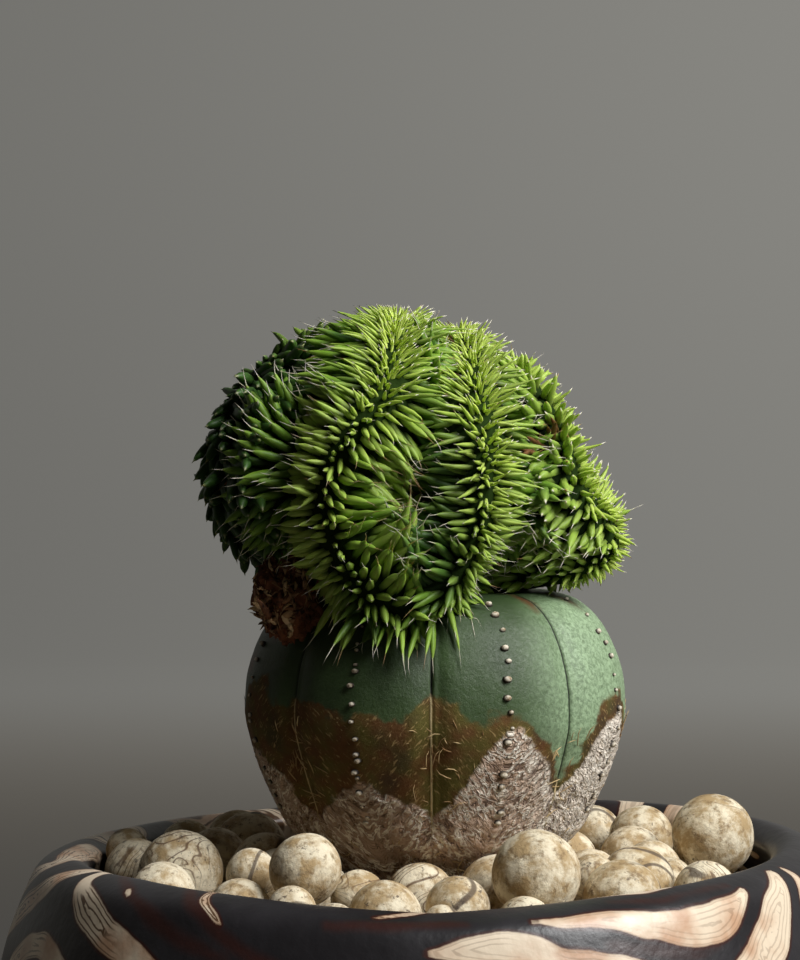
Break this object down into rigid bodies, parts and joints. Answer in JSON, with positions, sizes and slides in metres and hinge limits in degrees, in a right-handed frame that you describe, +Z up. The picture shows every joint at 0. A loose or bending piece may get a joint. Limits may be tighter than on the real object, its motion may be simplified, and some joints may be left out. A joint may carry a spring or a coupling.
{
  "type": "potted euphorbia susannae",
  "caption": "Crested succulent of folded, spiny green ridges grafted on a round ribbed rootstock, in a low marbled clay bowl topped with clay balls",
  "frame": {"origin": "middle of the bowl's foot, on the surface it stands on", "axes": "+Z up, -Y is the front that the picture shows, +X to its right"},
  "size_m": [0.166, 0.166, 0.1649],
  "materials": {
    "marbled_clay": "satin black clay with flowing cream bands and thin brown lines",
    "soil": "matte earth",
    "grit": "matte crumbly grit",
    "clay_ball": "matte unglazed, thin brown swirl lines",
    "rootstock_skin": "waxy blue-green skin, corky grey-brown below",
    "crest_skin": "satin green tubercles with pale dry tips",
    "dry_husk": "matte dry brown"
  },
  "bodies": {
    "root": {"bowl": "marbled_clay", "soil": "soil", "grit_bed": "grit", "clay_ball_01": "clay_ball", "clay_ball_02": "clay_ball", "clay_ball_03": "clay_ball", "clay_ball_04": "clay_ball", "clay_ball_05": "clay_ball", "clay_ball_06": "clay_ball", "clay_ball_07": "clay_ball", "clay_ball_08": "clay_ball", "clay_ball_09": "clay_ball", "clay_ball_10": "clay_ball", "clay_ball_11": "clay_ball", "clay_ball_12": "clay_ball", "clay_ball_13": "clay_ball", "clay_ball_14": "clay_ball", "clay_ball_15": "clay_ball", "clay_ball_16": "clay_ball", "clay_ball_17": "clay_ball", "clay_ball_18": "clay_ball", "clay_ball_19": "clay_ball", "clay_ball_20": "clay_ball", "clay_ball_21": "clay_ball", "clay_ball_22": "clay_ball", "clay_ball_23": "clay_ball", "clay_ball_24": "clay_ball", "clay_ball_25": "clay_ball", "clay_ball_26": "clay_ball", "clay_ball_27": "clay_ball", "clay_ball_28": "clay_ball", "clay_ball_29": "clay_ball", "clay_ball_30": "clay_ball", "clay_ball_31": "clay_ball", "clay_ball_32": "clay_ball", "clay_ball_33": "clay_ball", "clay_ball_34": "clay_ball", "clay_ball_35": "clay_ball", "clay_ball_36": "clay_ball", "clay_ball_37": "clay_ball", "clay_ball_38": "clay_ball", "clay_ball_39": "clay_ball", "clay_ball_40": "clay_ball", "clay_ball_41": "clay_ball", "clay_ball_42": "clay_ball", "clay_ball_43": "clay_ball", "clay_ball_44": "clay_ball", "clay_ball_45": "clay_ball", "clay_ball_46": "clay_ball", "clay_ball_47": "clay_ball", "rootstock": "rootstock_skin", "crest": "crest_skin", "dead_remains": "dry_husk"}
  },
  "joints": []
}
